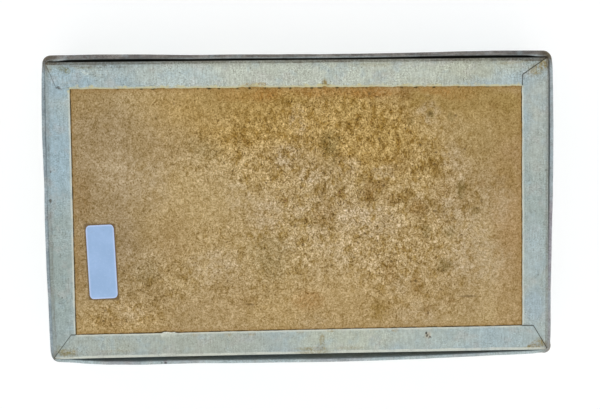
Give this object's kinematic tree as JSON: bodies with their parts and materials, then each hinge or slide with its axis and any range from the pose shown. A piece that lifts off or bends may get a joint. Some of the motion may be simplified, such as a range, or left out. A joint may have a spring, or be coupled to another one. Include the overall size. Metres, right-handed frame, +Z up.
{
  "type": "box of rosin cakes",
  "caption": "Flat paper-covered strawboard box of rosin cakes for bows, lying on its telescoping lid: the shallow tray lifts out and the banded bars of rosin lie in rows inside.",
  "frame": {"origin": "Centre of the lid's outer face, on the surface the box lies on. The box lies upside down on its lid, as it is stored here, so the origin is below the whole box.", "axes": "+Z points up, out of the bare underside of the tray, which faces up. X runs along the box's length and Y across it, with the small label near the -X end. Turned over for use, the lid is on top and -Z is up."},
  "size_m": [0.1737, 0.1059, 0.0202],
  "materials": {
    "strawboard": "matt, foxed",
    "cover_paper": "matt, pale blue-grey, aged",
    "top_sheet": "matt, pale blue-grey, aged",
    "stay_tape": "matt brown gummed tape",
    "label_paper": "smooth, pale blue-white",
    "rosin": "clear amber, glossy, dusty at the edges",
    "band_paper": "matt, thin, cream"
  },
  "bodies": {
    "lid": {"lid_board": "strawboard", "lid_corner_stay_1": "stay_tape", "lid_corner_stay_2": "stay_tape", "lid_corner_stay_3": "stay_tape", "lid_corner_stay_4": "stay_tape", "lid_cover_strip": "cover_paper", "lid_top_sheet": "top_sheet", "rosin_cake_01": "rosin", "rosin_cake_02": "rosin", "rosin_cake_03": "rosin", "rosin_cake_04": "rosin", "rosin_cake_05": "rosin", "rosin_cake_06": "rosin", "rosin_cake_07": "rosin", "rosin_cake_08": "rosin", "rosin_cake_09": "rosin", "rosin_cake_10": "rosin", "rosin_cake_11": "rosin", "rosin_cake_12": "rosin", "paper_band_01": "band_paper", "paper_band_02": "band_paper", "paper_band_03": "band_paper", "paper_band_04": "band_paper", "paper_band_05": "band_paper", "paper_band_06": "band_paper", "paper_band_07": "band_paper", "paper_band_08": "band_paper", "paper_band_09": "band_paper", "paper_band_10": "band_paper", "paper_band_11": "band_paper", "paper_band_12": "band_paper"},
    "tray": {"tray_board": "strawboard", "tray_corner_stay_1": "stay_tape", "tray_corner_stay_2": "stay_tape", "tray_corner_stay_3": "stay_tape", "tray_corner_stay_4": "stay_tape", "tray_cover_strip": "cover_paper", "stock_label": "label_paper"}
  },
  "joints": [
    {"name": "tray_lift", "type": "slide", "parent": "lid", "child": "tray", "axis": [0, 0, 1], "range_m": [0, 0.03]}
  ]
}
